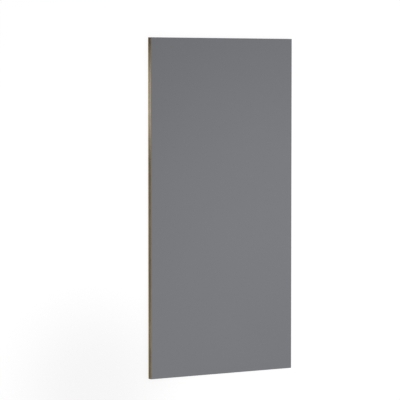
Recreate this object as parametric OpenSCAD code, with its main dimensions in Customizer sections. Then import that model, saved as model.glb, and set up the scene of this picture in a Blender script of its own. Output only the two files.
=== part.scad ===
// A full sheet of decorative laminate on its board, lying flat with the decorative face up.
// Two pieces are bonded face to face: a plywood board, whose sawn edges and back stay bare,
// and a thin decorative laminate that covers the board's upper face and is trimmed flush
// with it on all four sides.
// Millimetres. The origin is the middle of the back face, which rests on the floor.
// +X runs across the sheet, +Y along it, and +Z out of the decorative face.

/* [Sheet] */
// Length of the sheet, along Y
sheet_length = 2440; // [1220:10:3660]
// Width of the sheet, along X
sheet_width = 1220; // [610:10:1830]

/* [Board] */
// Thickness of the plywood board under the laminate
board_thickness = 38; // [12:1:50]
// Size of the sanded arris round the board's back face, the same inwards and upwards
back_arris = 0.6; // [0.2:0.1:2]

/* [Laminate] */
// Thickness of the decorative laminate
laminate_thickness = 1; // [0.8:0.1:1.5]
// How far the trimming bevel runs in over the decorative face
bevel_run = 0.3; // [0.1:0.1:1]
// How far the trimming bevel runs down the laminate's edge
bevel_drop = 0.5; // [0.1:0.1:0.7]

/* [Hidden] */

// Each section is drawn out past the sheet, and the section across it cuts it to length.
spare = 2;

// Section of a layer "span" wide and "thickness" high, standing on its flat side.
// Both upper corners are cut off, "run" along the top and "drop" down the side.
module eased_section(span, thickness, run, drop) {
  half = span / 2;
  shoulder = thickness - drop;
  polygon([
    [-half, 0], [half, 0], [half, shoulder],
    [half - run, thickness], [-half + run, thickness], [-half, shoulder]
  ]);
}

// A layer as large as the sheet. The eased edge runs round its upper face, and the
// two sections that cross each other mitre it at the four corners.
module eased_layer(thickness, run, drop) {
  intersection() {
    rotate([90, 0, 0])
      linear_extrude(sheet_length + spare, center = true)
        eased_section(sheet_width, thickness, run, drop);
    rotate([90, 0, 90])
      linear_extrude(sheet_width + spare, center = true)
        eased_section(sheet_length, thickness, run, drop);
  }
}

// The board lies with its sharp-edged bonding face up and its sanded arris down.
module core_board() {
  color("#7d6e51")
    translate([0, 0, board_thickness])
      mirror([0, 0, 1])
        eased_layer(board_thickness, back_arris, back_arris);
}

// The laminate sits on the board's bonding face, with the trimming bevel round its
// decorative face.
module decor_laminate() {
  color("#787a7e")
    translate([0, 0, board_thickness])
      eased_layer(laminate_thickness, bevel_run, bevel_drop);
}

core_board();
decor_laminate();
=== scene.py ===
"""Looks of a full sheet of grey decorative laminate on its plywood board.

The sheet lies flat with its decorative face up, so the camera looks down on it from the
side that shows its left long edge. Everything is in metres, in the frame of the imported
model: X across the sheet, Y along it, Z out of the decorative face.
"""

from __future__ import annotations

import logging
import math
import random
from collections.abc import Callable, Mapping, Sequence
from dataclasses import dataclass, field
from enum import Enum
from functools import partial

import bpy
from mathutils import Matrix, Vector

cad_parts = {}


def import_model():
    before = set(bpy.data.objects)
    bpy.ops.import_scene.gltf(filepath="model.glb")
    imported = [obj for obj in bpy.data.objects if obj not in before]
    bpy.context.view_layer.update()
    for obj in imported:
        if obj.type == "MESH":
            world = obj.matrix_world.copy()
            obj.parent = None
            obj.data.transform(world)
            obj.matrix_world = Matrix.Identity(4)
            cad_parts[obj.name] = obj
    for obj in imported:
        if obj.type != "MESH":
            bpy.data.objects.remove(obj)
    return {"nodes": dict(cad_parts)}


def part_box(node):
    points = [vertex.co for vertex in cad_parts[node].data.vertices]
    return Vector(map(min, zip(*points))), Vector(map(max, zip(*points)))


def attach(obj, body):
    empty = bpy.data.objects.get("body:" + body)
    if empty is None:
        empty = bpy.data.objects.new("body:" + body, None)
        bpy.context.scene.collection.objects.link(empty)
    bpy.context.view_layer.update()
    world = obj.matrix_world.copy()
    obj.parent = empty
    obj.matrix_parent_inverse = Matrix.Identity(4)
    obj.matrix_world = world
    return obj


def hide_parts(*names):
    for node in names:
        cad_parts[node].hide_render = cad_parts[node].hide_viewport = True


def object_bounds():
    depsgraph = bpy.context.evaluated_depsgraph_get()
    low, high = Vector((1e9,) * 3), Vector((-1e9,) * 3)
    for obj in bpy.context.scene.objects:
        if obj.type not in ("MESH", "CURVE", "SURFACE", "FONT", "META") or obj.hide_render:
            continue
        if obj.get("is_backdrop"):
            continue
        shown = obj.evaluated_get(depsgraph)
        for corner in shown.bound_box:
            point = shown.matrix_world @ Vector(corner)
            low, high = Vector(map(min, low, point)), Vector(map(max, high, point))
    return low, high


LOG = logging.getLogger("laminate_sheet")

MM = 0.001
BODY = "root"
WHITE = (1.0, 1.0, 1.0, 1.0)

# Names of what the board's faces, and the points that its cutters stand on, store.
CORE_GAP = "core_gap"
SCORE_TONE = "score_tone"
ROD_SIZE = "rod_size"

Colour = tuple[float, float, float]
Point = tuple[float, float, float]
Span = tuple[float, float]


def opaque(colour: Colour) -> tuple[float, float, float, float]:
    """Returns the colour with full alpha, as a colour socket takes it."""
    return (*colour, 1.0)


def millimetres(across: float, along: float, up: float) -> Vector:
    """Returns a dataclass field whose default is that size."""
    return field(default_factory=lambda: Vector((across, along, up)) * MM)


def link(obj: bpy.types.Object) -> bpy.types.Object:
    """Puts an object into the scene and returns it."""
    bpy.context.scene.collection.objects.link(obj)
    return obj


class Signal:
    """One output socket of a node tree, with arithmetic on its value."""

    def __init__(self, graph: Graph, socket: bpy.types.NodeSocket) -> None:
        """Keeps the tree and the socket."""
        self.graph = graph
        self.socket = socket

    def sibling(self, output: str) -> Signal:
        """Returns another output of the node that this signal comes from."""
        return Signal(self.graph, self.graph.find(self.socket.node.outputs, output))

    def math(self, operation: str, *others: Value) -> Signal:
        """Returns the value of a Math node whose operands are this signal and the others."""
        return self.graph.math(operation, self, *others)

    def __add__(self, other: Value) -> Signal:
        """Adds a value."""
        return self.math("ADD", other)

    __radd__ = __add__

    def __sub__(self, other: Value) -> Signal:
        """Takes a value away."""
        return self.math("SUBTRACT", other)

    def __rsub__(self, other: Value) -> Signal:
        """Takes this signal away from a value."""
        return self.graph.math("SUBTRACT", other, self)

    def __mul__(self, other: Value) -> Signal:
        """Multiplies by a value."""
        return self.math("MULTIPLY", other)

    __rmul__ = __mul__

    def __truediv__(self, other: Value) -> Signal:
        """Divides by a value."""
        return self.math("DIVIDE", other)

    def __abs__(self) -> Signal:
        """Returns the value without its sign."""
        return self.math("ABSOLUTE")

    def sign(self) -> Signal:
        """Returns 1 or -1, the value's sign."""
        return self.math("SIGN")

    def floor(self) -> Signal:
        """Returns the whole number at or below the value."""
        return self.math("FLOOR")

    def fraction(self) -> Signal:
        """Returns what the value has past its whole number."""
        return self.math("FRACT")

    def over(self, limit: Value) -> Signal:
        """Returns 1 where the value is over the limit, and 0 elsewhere."""
        return self.math("GREATER_THAN", limit)

    def under(self, limit: Value) -> Signal:
        """Returns 1 where the value is under the limit, and 0 elsewhere."""
        return self.math("LESS_THAN", limit)

    def maximum(self, other: Value) -> Signal:
        """Returns the larger of two values."""
        return self.math("MAXIMUM", other)

    def swing(self, size: float) -> Signal:
        """Turns a value from 0 to 1 into a swing of that size, from end to end, about 0."""
        return size * (self - 0.5)

    def rise(self, low: float, high: float, to_low: float = 0.0, to_high: float = 1.0) -> Signal:
        """Turns the value into a smooth step.

        Args:
            low: The value at which the step starts.
            high: The value at which it ends, which may be below low.
            to_low: The result at low and before it.
            to_high: The result at high and past it.

        Returns:
            The smooth step.
        """
        if low > high:
            low, high, to_low, to_high = high, low, to_high, to_low
        limits = {"Value": self, "From Min": low, "From Max": high, "To Min": to_low, "To Max": to_high}
        return self.graph.add("ShaderNodeMapRange", limits, interpolation_type="SMOOTHSTEP")

    def blend(self, start: Value, end: Value) -> Signal:
        """Returns the number between start, where this signal is 0, and end, where it is 1."""
        values = {"Factor_Float": self, "A_Float": start, "B_Float": end}
        return self.graph.add("ShaderNodeMix", values, "Result_Float", data_type="FLOAT")

    def blend_colour(self, start: Value, end: Value, **settings: str) -> Signal:
        """Mixes two colours.

        Args:
            start: The colour where this signal is 0.
            end: The colour where it is 1.
            **settings: The Mix node's other settings, such as blend_type.

        Returns:
            The mixed colour.
        """
        values = {"Factor_Float": self, "A_Color": start, "B_Color": end}
        return self.graph.add("ShaderNodeMix", values, "Result_Color", data_type="RGBA", **settings)

    def split(self) -> tuple[Signal, Signal, Signal]:
        """Returns the three parts of a vector."""
        parts = self.graph.add("ShaderNodeSeparateXYZ", {"Vector": self}, "X")
        return parts, parts.sibling("Y"), parts.sibling("Z")


Value = Signal | float | int | bool | str | Sequence[float] | bpy.types.ID


class Graph:
    """A shader or geometry node tree under construction."""

    def __init__(self, tree: bpy.types.NodeTree) -> None:
        """Keeps the tree."""
        self.tree = tree

    @staticmethod
    def find(sockets: bpy.types.NodeInputs | bpy.types.NodeOutputs, key: str | int) -> bpy.types.NodeSocket:
        """Finds a socket.

        Args:
            sockets: The inputs or outputs of a node.
            key: The socket's identifier, its name or its place in the row.

        Returns:
            The socket.
        """
        if isinstance(key, int):
            return sockets[key]
        return next((socket for socket in sockets if socket.identifier == key), None) or sockets[key]

    def feed(self, socket: bpy.types.NodeSocket, value: Value) -> None:
        """Links a signal into an input socket, or sets the socket to a plain value.

        Args:
            socket: The input socket.
            value: The signal or the plain value.
        """
        if isinstance(value, Signal):
            self.tree.links.new(value.socket, socket)
        else:
            socket.default_value = value

    def put(
        self, kind: str, values: Mapping[str | int, Value] | None = None, **settings: object
    ) -> bpy.types.Node:
        """Puts a node into the tree.

        Args:
            kind: The node's type.
            values: A value or a signal for each input socket that is set.
            **settings: The node's own settings, or the stops of a ramp.

        Returns:
            The node.
        """
        node = self.tree.nodes.new(kind)
        for name, setting in settings.items():
            if name == "stops":
                self.set_stops(node.color_ramp, setting)
            else:
                setattr(node, name, setting)
        for key, value in (values or {}).items():
            self.feed(self.find(node.inputs, key), value)
        return node

    def add(
        self,
        kind: str,
        values: Mapping[str | int, Value] | None = None,
        output: str | int = 0,
        **settings: object,
    ) -> Signal:
        """Adds a node for the sake of one of its outputs.

        Args:
            kind: The node's type.
            values: A value or a signal for each input socket that is set.
            output: The output that is returned.
            **settings: The node's own settings, or the stops of a ramp.

        Returns:
            The chosen output.
        """
        node = self.put(kind, values, **settings)
        return Signal(self, self.find(node.outputs, output))

    @staticmethod
    def set_stops(ramp: bpy.types.ColorRamp, stops: Sequence[tuple[float, Colour]]) -> None:
        """Gives a ramp its stops.

        Args:
            ramp: The ramp.
            stops: A place from 0 to 1 and a colour for each stop.
        """
        while len(ramp.elements) < len(stops):
            ramp.elements.new(1.0)
        for element, (place, colour) in zip(ramp.elements, stops, strict=True):
            element.position = place
            element.color = opaque(colour)

    def math(self, operation: str, *operands: Value) -> Signal:
        """Returns the value of a Math node with those operands."""
        return self.add("ShaderNodeMath", dict(enumerate(operands)), operation=operation)

    def vector(self, x: Value, y: Value, z: Value) -> Signal:
        """Joins three numbers into a vector."""
        return self.add("ShaderNodeCombineXYZ", {"X": x, "Y": y, "Z": z})

    def noise(self, place: Signal, size: float, detail: float, roughness: float = 0.5) -> Signal:
        """Returns smooth noise from 0 to 1 whose grains are of that size."""
        values = {"Vector": place, "Scale": 1.0 / size, "Detail": detail, "Roughness": roughness}
        return self.add("ShaderNodeTexNoise", values, "Fac", noise_dimensions="3D")

    def line_noise(self, place: Signal, size: float, detail: float = 2.0) -> Signal:
        """Returns smooth noise from 0 to 1 along one line, whose waves are of that size."""
        values = {"W": place, "Scale": 1.0 / size, "Detail": detail}
        return self.add("ShaderNodeTexNoise", values, "Fac", noise_dimensions="1D")

    def chance(self, number: Signal, draw: float) -> Signal:
        """Returns a fixed random value from 0 to 1 for each whole number. Each draw gives others."""
        return self.add("ShaderNodeTexWhiteNoise", {"W": number + draw}, "Value", noise_dimensions="1D")


class ShaderGraph(Graph):
    """The node tree of one material."""

    def __init__(self, name: str) -> None:
        """Makes the material, with nothing in its tree.

        Args:
            name: The material's name.
        """
        self.material = bpy.data.materials.new(name)
        self.material.use_nodes = True
        super().__init__(self.material.node_tree)
        self.tree.nodes.clear()

    def stored(self, name: str) -> Signal:
        """Returns the value that the mesh stores under a name, or 0."""
        return self.add("ShaderNodeAttribute", output="Fac", attribute_name=name)

    def bump(self, height: Signal, depth: float) -> Signal:
        """Returns the normal of a surface whose height signal, from 0 to 1, is depth metres high."""
        return self.add("ShaderNodeBump", {"Strength": 1.0, "Distance": depth, "Height": height})

    def finish(self, shader: Signal) -> bpy.types.Material:
        """Ends the tree in a shader and returns the material."""
        self.put("ShaderNodeOutputMaterial", {"Surface": shader})
        return self.material

    def finish_surface(self, surface: Mapping[str, Value]) -> bpy.types.Material:
        """Ends the tree in a Principled shader with those inputs and returns the material."""
        return self.finish(self.add("ShaderNodeBsdfPrincipled", surface))


class ShapeGraph(Graph):
    """A geometry node tree that makes one piece from a carrier mesh."""

    def __init__(self, name: str) -> None:
        """Makes the tree with its geometry input and output.

        Args:
            name: The tree's name.
        """
        super().__init__(bpy.data.node_groups.new(name, "GeometryNodeTree"))
        self.sources = self.put("NodeGroupInput")
        self.given: dict[str, Value] = {}
        for way in ("INPUT", "OUTPUT"):
            self.tree.interface.new_socket("Geometry", in_out=way, socket_type="NodeSocketGeometry")

    @property
    def carrier(self) -> Signal:
        """The mesh that the tree starts from."""
        return Signal(self, self.sources.outputs["Geometry"])

    def named_input(self, name: str, value: Value, kind: str = "NodeSocketFloat") -> Signal:
        """Adds a named input.

        Args:
            name: The input's name.
            value: What this piece sets it to.
            kind: The type of its socket.

        Returns:
            The input's value inside the tree.
        """
        socket = self.tree.interface.new_socket(name, in_out="INPUT", socket_type=kind)
        self.given[socket.identifier] = value
        return Signal(self, self.sources.outputs[name])

    def place(self) -> tuple[Signal, Signal, Signal]:
        """Returns the three parts of each point's place."""
        return self.add("GeometryNodeInputPosition").split()

    def stored(self, name: str, kind: str = "FLOAT") -> Signal:
        """Returns the value of that kind that each point stores under a name."""
        return self.add("GeometryNodeInputNamedAttribute", {"Name": name}, "Attribute", data_type=kind)

    def draw(self, span: Span, seed: int, **values: Value) -> Signal:
        """Returns a random number in a span for each point, or for each ID where that is given."""
        limits = {"Min_001": span[0], "Max_001": span[1], "Seed": seed}
        return self.add("FunctionNodeRandomValue", limits | values, "Value_001", data_type="FLOAT")

    def block(self, size: Value) -> Signal:
        """Returns a block of that size, round the frame's origin."""
        return self.add("GeometryNodeMeshCube", {"Size": size}, "Mesh")

    def move(self, shape: Signal, **values: Value) -> Signal:
        """Moves the points of a shape, by an Offset or to a Position."""
        return self.add("GeometryNodeSetPosition", {"Geometry": shape, **values})

    def pull_up(self, shape: Signal, faces: Signal, height: Value) -> Signal:
        """Extrudes the chosen faces together, straight up.

        Args:
            shape: The shape.
            faces: Which of its faces are extruded.
            height: How far. At 0 it adds a rim that can be moved next.

        Returns:
            The new shape. Its sibling output Top marks the faces that were pulled up.
        """
        values = {
            "Mesh": shape,
            "Selection": faces,
            "Offset": (0.0, 0.0, 1.0),
            "Offset Scale": height,
            "Individual": False,
        }
        return self.add("GeometryNodeExtrudeMesh", values, "Mesh", mode="FACES")

    def repeat(
        self,
        turns: Value,
        shape: Signal,
        top: Signal,
        add_layer: Callable[[Signal, Signal, Signal], Signal],
    ) -> Signal:
        """Grows a shape by one layer in each turn of a repeat zone.

        Args:
            turns: How many turns there are.
            shape: The shape to start from.
            top: Which of its faces are on top.
            add_layer: Adds a layer. It takes the shape, its top faces and the number of the
                turn, and its result has the new top faces as its sibling output Top.

        Returns:
            The shape with all its layers.
        """
        opening = self.put("GeometryNodeRepeatInput")
        closing = self.put("GeometryNodeRepeatOutput")
        opening.pair_with_output(closing)
        closing.repeat_items.new("BOOLEAN", "Top")
        for name, value in (("Iterations", turns), ("Geometry", shape), ("Top", top)):
            self.feed(opening.inputs[name], value)
        taken = (Signal(self, opening.outputs[name]) for name in ("Geometry", "Top", "Iteration"))
        grown = add_layer(*taken)
        self.feed(closing.inputs["Geometry"], grown)
        self.feed(closing.inputs["Top"], grown.sibling("Top"))
        return Signal(self, closing.outputs["Geometry"])

    def cutters(self, cutter: Signal, places: Mapping[str, Value], name: str, value: Value) -> Signal:
        """Puts a cutter on each point and stores a value on its faces.

        Args:
            cutter: The cutter.
            places: The Points to put it on, its Scale there, and a Selection of them.
            name: The name under which the value is stored. The faces that are cut keep it.
            value: The value.

        Returns:
            The cutters, joined.
        """
        put = self.add("GeometryNodeInstanceOnPoints", {"Instance": cutter, **places})
        joined = self.add("GeometryNodeRealizeInstances", {"Geometry": put})
        values = {"Geometry": joined, "Name": name, "Value": value}
        return self.add("GeometryNodeStoreNamedAttribute", values, data_type="FLOAT", domain="FACE")

    def cut(self, shape: Signal, cutters: Signal) -> Signal:
        """Cuts the cutters out of a shape."""
        values = {"Mesh 1": shape, "Mesh 2": cutters}
        settings = {"operation": "DIFFERENCE", "solver": "MANIFOLD"}
        return self.add("GeometryNodeMeshBoolean", values, "Mesh", **settings)

    def make(self, shape: Signal, finish: Signal, carrier: bpy.types.Mesh, name: str) -> bpy.types.Object:
        """Runs the tree once and keeps what it makes as a plain mesh.

        Args:
            shape: The geometry that the tree makes.
            finish: Its material.
            carrier: The mesh that the tree starts from.
            name: The finished piece's name.

        Returns:
            The finished piece, with no modifier left on it.
        """
        realized = self.add("GeometryNodeRealizeInstances", {"Geometry": shape})
        dressed = self.add("GeometryNodeSetMaterial", {"Geometry": realized, "Material": finish})
        self.put("NodeGroupOutput", {"Geometry": dressed})
        maker = link(bpy.data.objects.new(name + "_maker", carrier))
        modifier = maker.modifiers.new("shape", "NODES")
        modifier.node_group = self.tree
        for identifier, value in self.given.items():
            modifier[identifier] = value
        evaluated = maker.evaluated_get(bpy.context.evaluated_depsgraph_get())
        mesh = bpy.data.meshes.new_from_object(evaluated)
        mesh.name = name
        # The shapes that were cut and joined bring empty slots along.
        for slot in reversed(range(len(mesh.materials))):
            if mesh.materials[slot] is None:
                mesh.materials.pop(index=slot)
        bpy.data.objects.remove(maker)
        return link(bpy.data.objects.new(name, mesh))


@dataclass(frozen=True)
class Grain:
    """Where a point lies in the wood, as signals of one tree.

    Attributes:
        ply: Number of its ply, from 0 at the back.
        in_ply: Height in that ply, from 0 to 1.
        lengthwise: 1 where the ply's grain runs along the sheet, and 0 where it runs across.
        strip: Place across the strips that the ply is laid from, in strips.
        veneer: A fixed random value of its strip.
        across: Place across the grain.
        along: Place along the grain.
        up: Height in the board.
        starts: How far apart the noise of two strips can start, in its grains.
    """

    ply: Signal
    in_ply: Signal
    lengthwise: Signal
    strip: Signal
    veneer: Signal
    across: Signal
    along: Signal
    up: Signal
    starts: float = 50.0

    def noise(self, size: Vector, detail: float, roughness: float = 0.5) -> Signal:
        """Adds noise that follows the grain and starts anew in each strip.

        Args:
            size: Size of its grains, across, along and up the veneer.
            detail: How many finer layers it has.
            roughness: How strong each finer layer is.

        Returns:
            The noise, from 0 to 1.
        """
        graph = self.ply.graph
        own_start = self.veneer * self.starts
        place = graph.vector(self.across / size.x + own_start, self.along / size.y, self.up / size.z)
        return graph.noise(place, 1.0, detail, roughness)


@dataclass(frozen=True)
class LayUp:
    """How the veneers of the plywood board are stacked, from the back face upwards.

    Every other ply, the two outer veneers among them, has its grain along the sheet.

    Attributes:
        thickness: Thickness of the board.
        plies: Number of plies.
        outer_veneer: Thickness of each outer veneer.
        strip_width: Width of the strips that each ply is laid from.
        number_step: How far apart the numbers of the strips of two neighbouring plies are.
        shift_draw: Which random draw the plies' shifts come from, a number from 0 to 1.
        veneer_draw: Which one the strips' values come from.
    """

    thickness: float
    plies: int = 21
    outer_veneer: float = 0.6 * MM
    strip_width: float = 0.4
    number_step: int = 7
    shift_draw: float = 0.5
    veneer_draw: float = 0.25

    @property
    def core_ply(self) -> float:
        """Thickness of each ply between the two outer veneers."""
        return (self.thickness - 2 * self.outer_veneer) / (self.plies - 2)

    def shift(self, ply: Signal) -> Signal:
        """Returns how far the strips of a ply are shifted across, in strips."""
        return ply.graph.chance(ply, self.shift_draw)

    def joint(self, ply: Signal, number: Signal) -> Signal:
        """Returns the place of a joint between two strips of a ply, across its grain."""
        return (number - self.shift(ply)) * self.strip_width

    def grain(self, x: Signal, y: Signal, z: Signal) -> Grain:
        """Finds where a point lies in the wood.

        Args:
            x: Place across the sheet.
            y: Place along the sheet.
            z: Height in the board.

        Returns:
            The point's place in its ply.
        """
        level = (z - self.outer_veneer) / self.core_ply + 1.0
        ply = level.floor()
        lengthwise = 1.0 - ply.math("MODULO", 2.0)
        across = lengthwise.blend(y, x)
        strip = across / self.strip_width + self.shift(ply)
        number = ply * self.number_step + strip.floor()
        return Grain(
            ply=ply,
            in_ply=level.fraction(),
            lengthwise=lengthwise,
            strip=strip,
            veneer=ply.graph.chance(number, self.veneer_draw),
            across=across,
            along=lengthwise.blend(x, y),
            up=z,
        )


@dataclass(frozen=True)
class LongGrain:
    """The tone, from 0 to 1, of wood that is cut along its grain.

    Attributes:
        fibre: Size of the finest streaks, across, along and up the veneer.
        figure: Size of the swirls that the growth rings make in a peeled veneer.
        rings: How many growth rings a swirl holds.
        ring_width: Width of the growth rings where they run straight.
        ring_fray: How far the fibres fray a ring's outline, in rings.
        darkening: Part of a ring in which its early wood turns into late wood.
        ring_end: Part of a ring in which its late wood ends.
        usual: The usual tone.
        from_fibres: How far the finest streaks move it.
        from_bands: How far the broad streaks move it.
        from_rings: How far late wood darkens it.
        from_strips: How far it differs from strip to strip.
    """

    fibre: Vector = millimetres(0.5, 40.0, 0.5)
    figure: Vector = millimetres(120.0, 1100.0, 400.0)
    rings: float = 16.0
    ring_width: float = 30 * MM
    ring_fray: float = 0.4
    darkening: Span = (0.25, 0.92)
    ring_end: Span = (0.93, 1.0)
    usual: float = 0.60
    from_fibres: float = 0.50
    from_bands: float = 0.70
    from_rings: float = 0.15
    from_strips: float = 0.22

    def fibres(self, grain: Grain) -> Signal:
        """Returns the finest streaks."""
        return grain.noise(self.fibre, detail=3.0, roughness=0.6)

    def tone(self, grain: Grain, fibres: Signal, bands: Signal) -> Signal:
        """Works out the tone.

        Args:
            grain: The point's place in the wood.
            fibres: The finest streaks.
            bands: The broad streaks.

        Returns:
            The tone.
        """
        swirls = grain.noise(self.figure, detail=1.5) * self.rings
        ring = (swirls + grain.across / self.ring_width + fibres * self.ring_fray).fraction()
        late_wood = ring.rise(*self.darkening) * ring.rise(*reversed(self.ring_end))
        streaks = fibres.swing(self.from_fibres) + bands.swing(self.from_bands)
        strips = grain.veneer.swing(self.from_strips)
        return self.usual + streaks + strips - self.from_rings * late_wood


@dataclass(frozen=True)
class EndGrain:
    """The tone, from 0 to 1, of wood that is cut square to its grain.

    Attributes:
        pore: Size of the pores.
        pore_levels: Level of the pores' noise at which a pore starts, and is at its darkest.
        ray: Size of the rays, across, along and up the veneer.
        usual: The usual tone.
        from_bands: How far the broad streaks move it.
        from_rays: How far the rays move it.
        from_pores: How far a pore darkens it.
        from_strips: How far it differs from strip to strip.
    """

    pore: float = 0.3 * MM
    pore_levels: Span = (0.52, 0.72)
    ray: Vector = millimetres(1.1, 60.0, 9.0)
    usual: float = 0.46
    from_bands: float = 0.60
    from_rays: float = 0.35
    from_pores: float = 0.25
    from_strips: float = 0.26

    def pores(self, place: Signal) -> Signal:
        """Returns the noise whose peaks are pores."""
        return place.graph.noise(place, self.pore, detail=1.0)

    def tone(self, grain: Grain, pores: Signal, bands: Signal) -> Signal:
        """Works out the tone.

        Args:
            grain: The point's place in the wood.
            pores: The noise whose peaks are pores.
            bands: The broad streaks.

        Returns:
            The tone.
        """
        rays = grain.noise(self.ray, detail=2.0)
        streaks = bands.swing(self.from_bands) + rays.swing(self.from_rays)
        strips = grain.veneer.swing(self.from_strips)
        return self.usual + streaks + strips - self.from_pores * pores.rise(*self.pore_levels)


@dataclass(frozen=True)
class VeneerSeams:
    """The dark lines between the veneers.

    Attributes:
        glue_line: Height of a glue line between two plies.
        glue_shade: How dark it is.
        joint_line: Width of a joint between two strips of a ply.
        joint_core: Share of that width in which it is at its darkest.
        joint_shade: How dark it is.
    """

    glue_line: float = 0.10 * MM
    glue_shade: float = 0.7
    joint_line: float = 0.35 * MM
    joint_core: float = 0.4
    joint_shade: float = 0.8

    def shade(self, lay_up: LayUp, grain: Grain, sawn: Signal) -> Signal:
        """Works out how dark the lines are.

        Args:
            lay_up: The plies.
            grain: The point's place in the wood.
            sawn: 1 on an edge, where the glue lines show, and 0 on a face.

        Returns:
            The shade, from 0 to 1.
        """
        glue_reach = self.glue_line / lay_up.core_ply
        below = grain.in_ply.rise(1.0 - glue_reach, 1.0)
        above = grain.in_ply.rise(glue_reach, 0.0)
        joint_reach = self.joint_line / lay_up.strip_width
        joint = grain.strip.fraction().rise(joint_reach, joint_reach * self.joint_core)
        return (above.maximum(below) * sawn * self.glue_shade).maximum(joint * self.joint_shade)


@dataclass(frozen=True)
class EdgeStretch:
    """A stretch of the long edges whose wood differs from the rest.

    Attributes:
        fade_in: Where it starts to show, and where it shows in full, along the sheet.
        fade_out: Where it starts to fade, and where it has gone.
        tone: How much paler its wood is, or darker where it is below 0.
    """

    fade_in: Span
    fade_out: Span
    tone: float = 0.0

    def share(self, place: Signal) -> Signal:
        """Returns 1 where the stretch shows in full, and 0 outside it."""
        return place.rise(*self.fade_in) * place.rise(*reversed(self.fade_out))


@dataclass(frozen=True)
class SawnEdge:
    """How the tone of a sawn edge differs from that of plain wood.

    Attributes:
        saw_pitch: Distance between the fine lines that the saw left.
        saw_slant: How far those lines lean over for each metre up.
        from_lines: How far they move the tone.
        patch: Length of the paler and darker patches.
        from_patches: How far they move the tone.
        lift: How much paler the upper plies are than the lower.
        pale_stretch: Where the wood of the long edges is pale.
        stretches: Where it is a little darker or paler than elsewhere.
        fray: How far the ends of those stretches wander along the edge.
        fray_pitch: Length in which they wander.
    """

    saw_pitch: float = 3 * MM
    saw_slant: float = 0.2
    from_lines: float = 0.15
    patch: float = 90 * MM
    from_patches: float = 0.28
    lift: float = 0.20
    pale_stretch: EdgeStretch = EdgeStretch((0.27, 0.70), (0.92, 1.17))
    stretches: tuple[EdgeStretch, ...] = (
        EdgeStretch((1.15, 1.21), (1.25, 1.26), -0.44),
        EdgeStretch((0.94, 0.98), (1.05, 1.10), -0.13),
        EdgeStretch((0.62, 0.70), (0.78, 0.84), 0.06),
        EdgeStretch((-0.14, -0.11), (-0.06, -0.03), 0.09),
        EdgeStretch((-0.60, -0.52), (-0.32, -0.24), -0.09),
        EdgeStretch((-1.08, -0.95), (-0.80, -0.64), 0.15),
    )
    fray: float = 100 * MM
    fray_pitch: float = 120 * MM

    def saw_lines(self, run: Signal) -> Signal:
        """Returns the tone of the fine saw lines, at a place along the edge."""
        return run.graph.line_noise(run, self.saw_pitch, detail=3.0).swing(self.from_lines)

    def patches(self, run: Signal) -> Signal:
        """Returns the tone of the broad patches, at a place along the edge."""
        return run.graph.line_noise(run, self.patch).swing(self.from_patches)

    def frayed(self, y: Signal) -> Signal:
        """Returns a place along the sheet, moved so that a stretch's ends wander."""
        return y + y.graph.line_noise(y, self.fray_pitch).swing(self.fray)

    def stretch_tone(self, place: Signal) -> Signal:
        """Returns the tone of the stretches, at a frayed place along the sheet."""
        return sum(stretch.tone * stretch.share(place) for stretch in self.stretches)


@dataclass(frozen=True)
class WoodColours:
    """Colours of one wood surface.

    Attributes:
        shade: Its darkest late wood.
        middle: Its usual colour.
        light: Its palest early wood.
    """

    shade: Colour
    middle: Colour
    light: Colour

    def at(self, tone: Signal) -> Signal:
        """Returns the colour of a tone, which goes from 0 to 1."""
        stops = ((0.0, self.shade), (0.5, self.middle), (1.0, self.light))
        return tone.graph.add("ShaderNodeValToRGB", {"Fac": tone}, stops=stops)


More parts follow.
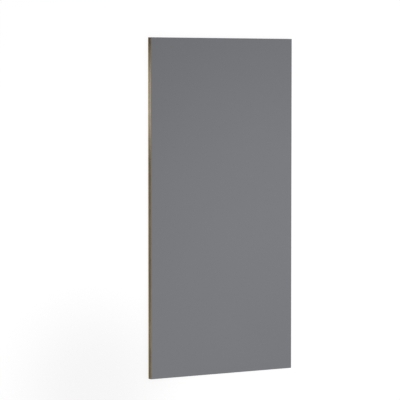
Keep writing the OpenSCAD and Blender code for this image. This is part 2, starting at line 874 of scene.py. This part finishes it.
@dataclass(frozen=True)
class PlywoodFinish:
    """Sawn and sanded plywood, worked out in the solid so that each cut face shows its own grain.

    Attributes:
        lay_up: The plies whose grain turns about.
        dark: Wood of the sawn edges.
        pale: Wood of their pale stretch.
        sanded: Wood of the sanded back.
        glue: Colour of the glue lines and joints, and of the painted shade deep in the core gaps.
        warm: Tint of the reddest strips.
        band: Size of the broad streaks, across, along and up the veneer.
        long_grain: Tone of the wood along its grain.
        end_grain: Tone of the wood across its grain.
        edge: What the saw left on the edges.
        seams: The lines between the veneers.
        face_turn: Upward part of the normal at which the wood of an edge starts to turn into
            that of a face, and has turned.
        gap_painted_shade: How dark the inside of a core gap is painted, as painted shade in the recess.
        rough_tones: Tones of wood that count as dark and as pale.
        roughness: Roughness of dark and of pale wood.
        specular: Specular level.
        relief: Depth of the surface's relief.
        fibre_relief: Share of it that the fibres take.
        saw_relief: Share that the saw lines take, for each unit of their tone.
        pore_relief: Share that the pores take.
        seam_relief: Share that the seams take, for each unit of their shade.
    """

    lay_up: LayUp
    dark: WoodColours = WoodColours((0.076, 0.049, 0.020), (0.207, 0.155, 0.073), (0.385, 0.303, 0.170))
    pale: WoodColours = WoodColours((0.264, 0.199, 0.110), (0.498, 0.418, 0.278), (0.742, 0.647, 0.465))
    sanded: WoodColours = WoodColours((0.170, 0.105, 0.055), (0.345, 0.240, 0.140), (0.510, 0.385, 0.250))
    glue: Colour = (0.050, 0.030, 0.016)
    warm: Colour = (1.0, 0.93, 0.82)
    band: Vector = millimetres(9.0, 420.0, 9.0)
    long_grain: LongGrain = LongGrain()
    end_grain: EndGrain = EndGrain()
    edge: SawnEdge = SawnEdge()
    seams: VeneerSeams = VeneerSeams()
    face_turn: Span = (0.5, 0.9)
    gap_painted_shade: float = 0.55
    rough_tones: Span = (0.2, 0.8)
    roughness: Span = (0.82, 0.62)
    specular: float = 0.3
    relief: float = 0.12 * MM
    fibre_relief: float = 0.5
    saw_relief: float = 2.0
    pore_relief: float = 0.4
    seam_relief: float = 0.6

    def material(self) -> bpy.types.Material:
        """Builds the material.

        Returns:
            The material.
        """
        graph = ShaderGraph("sawn_plywood")
        place = graph.add("ShaderNodeTexCoord", output="Object")
        x, y, z = place.split()
        facing_x, facing_y, facing_z = (abs(part) for part in place.sibling("Normal").split())
        grain = self.lay_up.grain(x, y, z)
        sawn = 1.0 - facing_z.rise(*self.face_turn)
        cut_square = grain.lengthwise.blend(facing_x, facing_y)

        bands = grain.noise(self.band, detail=3.0)
        fibres = self.long_grain.fibres(grain)
        pores = self.end_grain.pores(place)
        long_tone = self.long_grain.tone(grain, fibres, bands)
        tone = cut_square.blend(long_tone, self.end_grain.tone(grain, pores, bands))

        run = facing_x.blend(x, y) + z * self.edge.saw_slant
        saw_lines = self.edge.saw_lines(run)
        frayed = self.edge.frayed(y)
        lift = (z / self.lay_up.thickness).swing(self.edge.lift)
        marks = saw_lines + self.edge.patches(run) + graph.stored(SCORE_TONE)
        edge_tone = tone + lift + marks + self.edge.stretch_tone(frayed) * facing_x

        pale_share = self.edge.pale_stretch.share(frayed)
        edge_colour = pale_share.blend_colour(self.dark.at(edge_tone), self.pale.at(edge_tone))
        wood = sawn.blend_colour(self.sanded.at(long_tone), edge_colour)
        tinted = grain.veneer.blend_colour(wood, opaque(self.warm), blend_type="MULTIPLY")

        seams = self.seams.shade(self.lay_up, grain, sawn)
        # Painted shade: the faces inside the core gaps are darkened towards the glue colour; the glue lines
        # and joints are dark of their own.
        shade = seams.maximum(graph.stored(CORE_GAP) * self.gap_painted_shade)
        end_relief = self.pore_relief * pores * cut_square
        saw_relief = self.saw_relief * saw_lines * sawn
        height = self.fibre_relief * fibres + saw_relief + end_relief - self.seam_relief * seams
        return graph.finish_surface({
            "Base Color": shade.blend_colour(tinted, opaque(self.glue)),
            "Roughness": tone.rise(*self.rough_tones, *self.roughness),
            "Specular IOR Level": self.specular,
            "Normal": graph.bump(height, self.relief),
        })


@dataclass(frozen=True)
class BoardSizes:
    """The board's sizes, as named inputs of its tree.

    Attributes:
        width: Width of the board.
        length: Length of the board.
        plies: Number of plies.
        veneer: Thickness of each outer veneer.
        ply: Thickness of each ply between them.
        arris: Size of the arris round the back face.
    """

    width: Signal
    length: Signal
    plies: Signal
    veneer: Signal
    ply: Signal
    arris: Signal


class EdgePair(Enum):
    """The two pairs of opposite edges, by the first ply whose grain runs into them."""

    LONG = 1
    SHORT = 2


@dataclass(frozen=True)
class CoreGaps:
    """Gaps between the strips of the inner plies, open at the sawn edges.

    A gap lies at the joint between two strips of one ply, so it shows only where that
    ply's grain runs into the edge.

    Attributes:
        share: Share of the joints that gape.
        width: Narrowest and widest gap.
        narrowing: Power that makes narrow gaps more common than wide ones.
        depth: Shallowest and deepest gap.
        height: Share of its ply that a gap takes up.
        seed: Start of the random draws.
    """

    share: float = 0.27
    width: Span = (0.8 * MM, 5.0 * MM)
    narrowing: float = 2.0
    depth: Span = (3.0 * MM, 14.0 * MM)
    height: float = 0.8
    seed: int = 700

    def cutters(
        self, graph: ShapeGraph, sizes: BoardSizes, lay_up: LayUp, pair: EdgePair, half_run: float
    ) -> Signal:
        """Makes the cutters of the gaps in one pair of edges.

        Args:
            graph: The tree.
            sizes: The board's sizes.
            lay_up: The plies.
            pair: The long or the short edges.
            half_run: Half the length of one of those edges.

        Returns:
            The cutters, joined.
        """
        first_ply = pair.value
        # Each pair of edges has draws of its own.
        seed = self.seed + 10 * pair.value
        crossed_plies = (lay_up.plies - first_ply) // 2
        joints_each_way = math.floor(half_run / lay_up.strip_width)
        edges = 2

        # The points are numbered by edge first, then by ply, and by joint last.
        index = graph.add("GeometryNodeInputIndex", output="Index")
        side = index.math("MODULO", edges) * 2.0 - 1.0
        site = (index / edges).floor()
        ply = site.math("MODULO", crossed_plies) * 2.0 + first_ply
        number = (site / crossed_plies).floor() + (1 - joints_each_way)
        joint = lay_up.joint(ply, number)
        height = sizes.veneer + (ply - 0.5) * sizes.ply

        wide = graph.draw((0.0, 1.0), seed + 2).math("POWER", self.narrowing)
        opening = wide.blend(*self.width)
        # The cutter's middle lies on the edge, so half of it cuts.
        reach = graph.draw(self.depth, seed + 1) * 2.0
        thick = sizes.ply * self.height
        if pair is EdgePair.LONG:
            place = graph.vector(side * sizes.width / 2, joint, height)
            scale = graph.vector(reach, opening, thick)
        else:
            place = graph.vector(joint, side * sizes.length / 2, height)
            scale = graph.vector(opening, reach, thick)
        count = edges * crossed_plies * 2 * joints_each_way
        points = graph.add("GeometryNodePoints", {"Count": count, "Position": place})
        gapes = graph.draw((0.0, 1.0), seed).under(self.share)
        places = {"Points": points, "Selection": gapes, "Scale": scale}
        # The faces inside the gaps store CORE_GAP, where the finish paints shade in them.
        return graph.cutters(graph.block((1.0, 1.0, 1.0)), places, CORE_GAP, 1.0)


class Side(Enum):
    """The four edges, by the direction in which each faces."""

    LEFT = (-1, 0)
    RIGHT = (1, 0)
    NEAR = (0, -1)
    FAR = (0, 1)


@dataclass(frozen=True)
class SawScore:
    """A shallow score that the saw left right across an edge.

    Attributes:
        side: The edge that it crosses.
        place: Where it is along that edge, from the sheet's middle.
        width: How wide it is.
        tone: How much paler than the edge it is, or darker where it is below 0.
    """

    side: Side
    place: float
    width: float
    tone: float

    def rod(self, depth: float, high: Vector) -> tuple[Point, Point]:
        """Works out the upright, flattened rod that cuts the score.

        Args:
            depth: Depth of the score.
            high: Highest corner of the board.

        Returns:
            The rod's middle, which lies on the edge, and its size. It reaches past both faces.
        """
        middle, length = high.z / 2, 1.5 * high.z
        out_x, out_y = self.side.value
        if out_x:
            return (out_x * high.x, self.place, middle), (2 * depth, self.width, length)
        return (self.place, out_y * high.y, middle), (self.width, 2 * depth, length)


@dataclass(frozen=True)
class SawScores:
    """Every saw score in the board's edges.

    Those on the left edge are where the photograph shows them, and the other three edges,
    which it doesn't show, get a few of the same kind.

    Attributes:
        depth: Depth of a score.
        shown: Each score on the left edge.
        spacing: Average distance between the scores of another edge.
        stray: Where a score may lie in its share of such an edge, from 0 to 1.
        end_margin: How far its scores stay from the edge's ends.
        width: Narrowest and widest of them.
        tone: Darkest and palest of them.
        rod_sides: Number of sides of the rod that cuts a score.
        seed: Start of the random draws.
    """

    depth: float = 0.15 * MM
    shown: tuple[SawScore, ...] = (
        SawScore(Side.LEFT, 0.761, 8 * MM, -0.12),
        SawScore(Side.LEFT, 0.554, 6 * MM, -0.10),
        SawScore(Side.LEFT, 0.352, 10 * MM, -0.20),
        SawScore(Side.LEFT, 0.310, 8 * MM, -0.10),
        SawScore(Side.LEFT, 0.285, 6 * MM, 0.14),
        SawScore(Side.LEFT, 0.263, 6 * MM, 0.12),
        SawScore(Side.LEFT, 0.159, 10 * MM, 0.08),
        SawScore(Side.LEFT, -0.037, 6 * MM, -0.10),
        SawScore(Side.LEFT, -0.052, 6 * MM, -0.10),
        SawScore(Side.LEFT, -1.063, 12 * MM, -0.12),
    )
    spacing: float = 0.24
    stray: Span = (0.2, 0.8)
    end_margin: float = 0.02
    width: Span = (4 * MM, 7 * MM)
    tone: Span = (-0.2, 0.2)
    rod_sides: int = 16
    seed: int = 7

    def place_all(self, high: Vector) -> list[SawScore]:
        """Places the scores of all four edges.

        Args:
            high: Highest corner of the board.

        Returns:
            Every score.
        """
        scores = list(self.shown)
        rng = random.Random(self.seed)
        for side in (Side.RIGHT, Side.NEAR, Side.FAR):
            half_run = (high.y if side is Side.RIGHT else high.x) - self.end_margin
            count = round(2 * half_run / self.spacing)
            for step in range(count):
                place = half_run * (2 * (step + rng.uniform(*self.stray)) / count - 1)
                scores.append(SawScore(side, place, rng.uniform(*self.width), rng.uniform(*self.tone)))
        return scores

    def carrier(self, high: Vector) -> bpy.types.Mesh:
        """Makes the mesh whose points are the middles of the rods that cut the scores.

        Args:
            high: Highest corner of the board.

        Returns:
            The mesh, whose points store the size of their rod and the tone of their score.
        """
        scores = self.place_all(high)
        middles, sizes = zip(*(score.rod(self.depth, high) for score in scores), strict=True)
        mesh = bpy.data.meshes.new("saw_scores")
        mesh.from_pydata(middles, [], [])
        stored_sizes = mesh.attributes.new(ROD_SIZE, "FLOAT_VECTOR", "POINT")
        stored_sizes.data.foreach_set("vector", [part for size in sizes for part in size])
        stored_tones = mesh.attributes.new(SCORE_TONE, "FLOAT", "POINT")
        stored_tones.data.foreach_set("value", [score.tone for score in scores])
        return mesh

    def cutters(self, graph: ShapeGraph) -> Signal:
        """Makes the rods that cut the scores, one on each point of the carrier.

        Args:
            graph: The tree.

        Returns:
            The rods, joined.
        """
        values = {"Vertices": self.rod_sides, "Radius": 0.5, "Depth": 1.0}
        rod = graph.add("GeometryNodeMeshCylinder", values, "Mesh")
        places = {"Points": graph.carrier, "Scale": graph.stored(ROD_SIZE, "FLOAT_VECTOR")}
        rods = graph.cutters(rod, places, SCORE_TONE, graph.stored(SCORE_TONE))
        return graph.add("GeometryNodeRemoveAttribute", {"Geometry": rods, "Name": ROD_SIZE})


@dataclass
class PlywoodBoard:
    """The board under the laminate: a stack of plies with core gaps and saw scores in its edges.

    Attributes:
        low: Lowest corner of the board.
        high: Highest corner.
        finish: The wood's finish, which holds the lay-up.
        back_arris: Size of the sanded arris round the back face.
        recess: How far back the plies may stand from the sawn edge.
        gaps: The core gaps.
        scores: The saw scores.
        seed: Start of the random draws of the plies' recesses.
    """

    low: Vector
    high: Vector
    finish: PlywoodFinish
    back_arris: float = 0.6 * MM
    recess: Span = (0.02 * MM, 0.14 * MM)
    gaps: CoreGaps = CoreGaps()
    scores: SawScores = SawScores()
    seed: int = 7

    @property
    def lay_up(self) -> LayUp:
        """The board's plies."""
        return self.finish.lay_up

    def build(self) -> bpy.types.Object:
        """Makes the board as one closed shell.

        Returns:
            The board.
        """
        graph = ShapeGraph("plywood_board")
        sizes = BoardSizes(
            width=graph.named_input("Width", self.high.x - self.low.x),
            length=graph.named_input("Length", self.high.y - self.low.y),
            plies=graph.named_input("Plies", self.lay_up.plies, "NodeSocketInt"),
            veneer=graph.named_input("Outer Veneer", self.lay_up.outer_veneer),
            ply=graph.named_input("Core Ply", self.lay_up.core_ply),
            arris=graph.named_input("Back Arris", self.back_arris),
        )
        finish = graph.named_input("Finish", self.finish.material(), "NodeSocketMaterial")

        shell = self.stack(graph, sizes)
        for pair, half_run in ((EdgePair.LONG, self.high.y), (EdgePair.SHORT, self.high.x)):
            shell = graph.cut(shell, self.gaps.cutters(graph, sizes, self.lay_up, pair, half_run))
        shell = graph.cut(shell, self.scores.cutters(graph))
        return graph.make(shell, finish, self.scores.carrier(self.high), "plywood_board")

    def stack(self, graph: ShapeGraph, sizes: BoardSizes) -> Signal:
        """Grows the board ply by ply from its back veneer, which has the arris.

        Args:
            graph: The tree.
            sizes: The board's sizes.

        Returns:
            The closed shell.
        """
        block = graph.block(graph.vector(sizes.width, sizes.length, sizes.veneer))
        lifted = graph.move(block, Offset=graph.vector(0, 0, sizes.veneer / 2))
        back = graph.place()[2].under(sizes.veneer / 2)
        inset = self.inset(graph, sizes, sizes.arris, sizes.arris)
        eased = graph.move(lifted, Selection=back, Position=inset)
        faces_up = 0.9
        top = graph.add("GeometryNodeInputNormal").split()[2].over(faces_up)
        return graph.repeat(sizes.plies - 1, eased, top, partial(self.add_ply, graph, sizes))

    @staticmethod
    def inset(graph: ShapeGraph, sizes: BoardSizes, back_x: Signal, back_y: Signal) -> Signal:
        """Sets the corners of a layer back from the board's edges.

        Args:
            graph: The tree.
            sizes: The board's sizes.
            back_x: How far back they are from the long edges.
            back_y: How far back they are from the short edges.

        Returns:
            The place of each corner.
        """
        x, y, z = graph.place()
        out_x = sizes.width / 2 - back_x
        out_y = sizes.length / 2 - back_y
        return graph.vector(x.sign() * out_x, y.sign() * out_y, z)

    def add_ply(
        self, graph: ShapeGraph, sizes: BoardSizes, shell: Signal, top: Signal, turn: Signal
    ) -> Signal:
        """Adds a ply on top of the shell, set back a little from the sawn edge.

        Args:
            graph: The tree.
            sizes: The board's sizes.
            shell: The plies below.
            top: Their top faces.
            turn: Number of the turn, from 0. The last one adds the outer veneer.

        Returns:
            The shell with the ply.
        """
        rim = graph.pull_up(shell, top, 0.0)
        back_x, back_y = (graph.draw(self.recess, seed, ID=turn) for seed in (self.seed, self.seed + 1))
        inset = self.inset(graph, sizes, back_x, back_y)
        set_back = graph.move(rim, Selection=rim.sibling("Top"), Position=inset)
        turn_before_last = sizes.plies - 3
        rise = turn.over(turn_before_last).blend(sizes.ply, sizes.veneer)
        return graph.pull_up(set_back, rim.sibling("Top"), rise)

    def dress(self, board: bpy.types.Object) -> None:
        """Places the board in the frame, where it stands for its CAD solid.

        Args:
            board: The finished board.
        """
        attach(board, BODY)
        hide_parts("core_board")


@dataclass(frozen=True)
class LaminateFinish:
    """Matt grey decorative laminate, with the kraft core that shows at its trimmed edge.

    Attributes:
        top: Height of the decorative face.
        grey: Colour of the decorative layer.
        kraft: Colour of the pressed kraft core.
        decor_layer: Thickness of the decorative layer.
        layer_blend: Share of that thickness in which the kraft turns into it.
        sheen_patch: Size of the patches in which the grey drifts: painted sheen, standing in for
            the uneven reflections of the matt face.
        sheen_drift: Share of its level by which that painted sheen makes it drift.
        suede: Size of the suede surface's grains.
        grain_levels: Levels of the grains' noise that count as the lowest and the highest.
        speckle: Share of its level by which the grey differs from grain to grain.
        relief: Depth of the grains.
        roughness: Roughness of the lowest and of the highest grains.
        specular: Specular level.
    """

    top: float
    grey: Colour = (0.1870, 0.1924, 0.2085)
    kraft: Colour = (0.060, 0.036, 0.022)
    decor_layer: float = 0.15 * MM
    layer_blend: float = 0.1
    sheen_patch: float = 0.5
    sheen_drift: float = 0.04
    suede: float = 0.35 * MM
    grain_levels: Span = (0.35, 0.65)
    speckle: float = 0.06
    relief: float = 0.02 * MM
    roughness: Span = (0.50, 0.58)
    specular: float = 0.35

    def material(self) -> bpy.types.Material:
        """Builds the material.

        Returns:
            The material.
        """
        graph = ShaderGraph("suede_laminate")
        place = graph.add("ShaderNodeTexCoord", output="Object")
        # Painted sheen: the grey drifts in broad patches in place of uneven reflections.
        sheen_clouds = graph.noise(place, self.sheen_patch, detail=2.0)
        grains = graph.noise(place, self.suede, detail=2.0).rise(*self.grain_levels)
        level = 1.0 + sheen_clouds.swing(self.sheen_drift) + grains.swing(self.speckle)
        grey = graph.add("ShaderNodeVectorMath", {0: self.grey, "Scale": level}, operation="SCALE")
        decor_base = self.top - self.decor_layer
        blend_base = decor_base - self.layer_blend * self.decor_layer
        in_decor = place.split()[2].rise(blend_base, decor_base)
        return graph.finish_surface({
            "Base Color": in_decor.blend_colour(opaque(self.kraft), grey),
            "Roughness": grains.blend(*self.roughness),
            "Specular IOR Level": self.specular,
            "Normal": graph.bump(grains, self.relief),
        })


@dataclass
class DecorLaminate:
    """The decorative laminate, which keeps its CAD solid.

    Attributes:
        node: The solid.
        finish: The laminate's finish.
    """

    node: bpy.types.Object
    finish: LaminateFinish

    def dress(self) -> None:
        """Gives the solid its finish."""
        self.node.data.materials.clear()
        self.node.data.materials.append(self.finish.material())


def seen_directly(graph: Graph) -> Signal:
    """Tells what the camera sees from what only gives light.

    Args:
        graph: The tree of a material or of the world.

    Returns:
        1 for what the camera sees, straight or by reflection, and 0 for light.
    """
    camera = graph.add("ShaderNodeLightPath", output="Is Camera Ray")
    mirrored = camera.sibling("Is Glossy Ray").maximum(camera.sibling("Is Transmission Ray"))
    return camera.maximum(mirrored)


@dataclass(frozen=True)
class FloorFinish:
    """Pale studio floor, which shows white to the camera but keeps the sheet's shadow.

    Attributes:
        paint: The floor's own colour, in the light that it sends back.
        glow: Share of plain white in what the camera sees.
        painted_shade_place: Middle of the place, off the sheet's near left corner, where a soft
            shadow is painted on the floor, so that it is a little less white.
        painted_shade_reach: How far from there the painted shadow is full, and has faded so that
            the floor is white again.
        level: Level of the white in the painted shadow and elsewhere.
    """

    paint: Colour = (0.86, 0.86, 0.86)
    glow: float = 0.85
    painted_shade_place: Point = (-1.04, -1.26, 0.0)
    painted_shade_reach: Span = (0.1, 1.0)
    level: Span = (0.975, 1.09)

    def material(self) -> bpy.types.Material:
        """Builds the material.

        Returns:
            The material.
        """
        graph = ShaderGraph("studio_floor")
        place = graph.add("ShaderNodeTexCoord", output="Object")
        # Painted shadow: the floor's white dims towards a place off the sheet's near left corner.
        ends = {0: place, 1: self.painted_shade_place}
        distance = graph.add("ShaderNodeVectorMath", ends, "Value", operation="DISTANCE")
        paint = graph.add("ShaderNodeBsdfDiffuse", {"Color": opaque(self.paint)})
        white = graph.add("ShaderNodeEmission", {"Color": distance.rise(*self.painted_shade_reach, *self.level)})
        share = seen_directly(graph) * self.glow
        return graph.finish(graph.add("ShaderNodeMixShader", {0: share, 1: paint, 2: white}))


@dataclass(frozen=True)
class Softbox:
    """A square lamp that faces straight down.

    Attributes:
        name: What the lamp is called.
        place: Where it hangs.
        level: Light that it gives straight below it, where 1 shows a colour as it is written.
        side: Length of its sides.
    """

    name: str
    place: Point
    level: float
    side: float = 1.4

    def hang(self, lit_height: float) -> None:
        """Hangs the lamp.

        Args:
            lit_height: Height of the surface on which it gives its level.
        """
        lamp = bpy.data.lights.new(self.name, "AREA")
        lamp.shape = "SQUARE"
        lamp.size = self.side
        # From a distance, (pi * distance) ** 2 watts show a colour as it is written.
        distance = self.place[2] - lit_height
        lamp.energy = self.level * (math.pi * distance) ** 2
        holder = link(bpy.data.objects.new(self.name, lamp))
        holder.location = self.place
        holder.visible_camera = False


@dataclass
class Studio:
    """The floor, the world and the lamps.

    Attributes:
        high: Highest corner of the sheet, whose middle is the frame's origin.
        floor_size: Side of the floor.
        floor_lap: How far the floor reaches in under the sheet.
        sky_rim: Brightness of the world near the horizon, like the walls of a light tent.
        sky_top: Its brightness overhead.
        rim_span: Height of a direction at which the rim starts to turn into the top, and
            at which it has turned.
        softboxes: The lamps.
    """

    high: Vector
    floor_size: float = 80.0
    floor_lap: float = 0.6 * MM
    sky_rim: float = 1.21
    sky_top: float = 0.10
    rim_span: Span = (0.2, 0.9)
    softboxes: tuple[Softbox, ...] = (
        Softbox("right_softbox", (1.4, 0.2, 3.2), 0.36),
        Softbox("near_softbox", (-0.4, -1.4, 2.2), 0.23),
    )

    def build(self) -> None:
        """Makes the floor, the world and the lamps."""
        self.lay_floor()
        self.light_world()
        for softbox in self.softboxes:
            softbox.hang(self.high.z)

    def lay_floor(self) -> None:
        """Lays the floor, open under the sheet so that a view from below shows its back."""
        corners = ((-1, -1), (1, -1), (1, 1), (-1, 1))
        far = self.floor_size / 2
        in_x = self.high.x - self.floor_lap
        in_y = self.high.y - self.floor_lap
        outer = [(x * far, y * far, 0) for x, y in corners]
        inner = [(x * in_x, y * in_y, 0) for x, y in corners]
        quads = [(side, after, after + 4, side + 4) for side, after in enumerate((1, 2, 3, 0))]
        mesh = bpy.data.meshes.new("studio_floor")
        mesh.from_pydata(outer + inner, [], quads)
        mesh.materials.append(FloorFinish().material())
        link(bpy.data.objects.new("studio_floor", mesh))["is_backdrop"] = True

    def light_world(self) -> None:
        """Lights the world like a light tent, evenly below the floor, and shows it white."""
        world = bpy.data.worlds.new("studio")
        bpy.context.scene.world = world
        world.use_nodes = True
        graph = Graph(world.node_tree)
        graph.tree.nodes.clear()
        up = graph.add("ShaderNodeTexCoord", output="Object").split()[2]
        tent = up.rise(*self.rim_span, self.sky_rim, self.sky_top)
        light = up.under(0.0).blend(tent, 1.0)
        strength = seen_directly(graph).blend(light, 1.0)
        sky = graph.add("ShaderNodeBackground", {"Color": WHITE, "Strength": strength})
        graph.put("ShaderNodeOutputWorld", {"Surface": sky})


@dataclass(frozen=True)
class PhotoCamera:
    """The photograph's camera, fitted to the sheet's outline.

    Attributes:
        aim_x: Place across the sheet of the point in the middle of the picture.
        aim_y: Its place along the sheet.
        lens_mm: Focal length on the sensor.
        sensor_mm: Width of the sensor.
        distance: From the camera to that point of the decorative face.
        yaw: Turn away from the face's normal, towards the left long edge.
        pitch: Tilt towards the near short edge.
    """

    aim_x: float = -0.196
    aim_y: float = 0.0522
    lens_mm: float = 206.7
    sensor_mm: float = 36.0
    distance: float = 16.575
    yaw: float = math.radians(32.83)
    pitch: float = math.radians(2.97)

    def build(self, face_height: float) -> None:
        """Makes the camera and sets it as the scene's.

        Args:
            face_height: Height of the decorative face.
        """
        lens = bpy.data.cameras.new("photo_camera")
        lens.lens = self.lens_mm
        lens.sensor_width = self.sensor_mm
        camera = link(bpy.data.objects.new("photo_camera", lens))
        camera.rotation_euler = (-self.pitch, -self.yaw, 0.0)
        back = camera.rotation_euler.to_matrix() @ Vector((0, 0, 1))
        camera.location = Vector((self.aim_x, self.aim_y, face_height)) + back * self.distance
        bpy.context.scene.camera = camera


def main() -> None:
    """Builds the sheet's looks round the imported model."""
    logging.basicConfig(level=logging.INFO, format="%(message)s")
    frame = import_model()
    cad_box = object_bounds()
    high = cad_box[1]
    bpy.context.scene.view_settings.view_transform = "Standard"

    PhotoCamera().build(high.z)
    Studio(high).build()

    board_low, board_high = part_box("core_board")
    lay_up = LayUp(thickness=board_high.z - board_low.z)
    board = PlywoodBoard(board_low, board_high, PlywoodFinish(lay_up))
    piece = board.build()
    board.dress(piece)
    LOG.info("%s: %d faces, %d plies", piece.name, len(piece.data.polygons), lay_up.plies)

    laminate = DecorLaminate(frame["nodes"]["decor_laminate"], LaminateFinish(top=high.z))
    laminate.dress()
    LOG.info("%s: CAD solid, dressed", laminate.node.name)


if __name__ == "__main__":
    main()
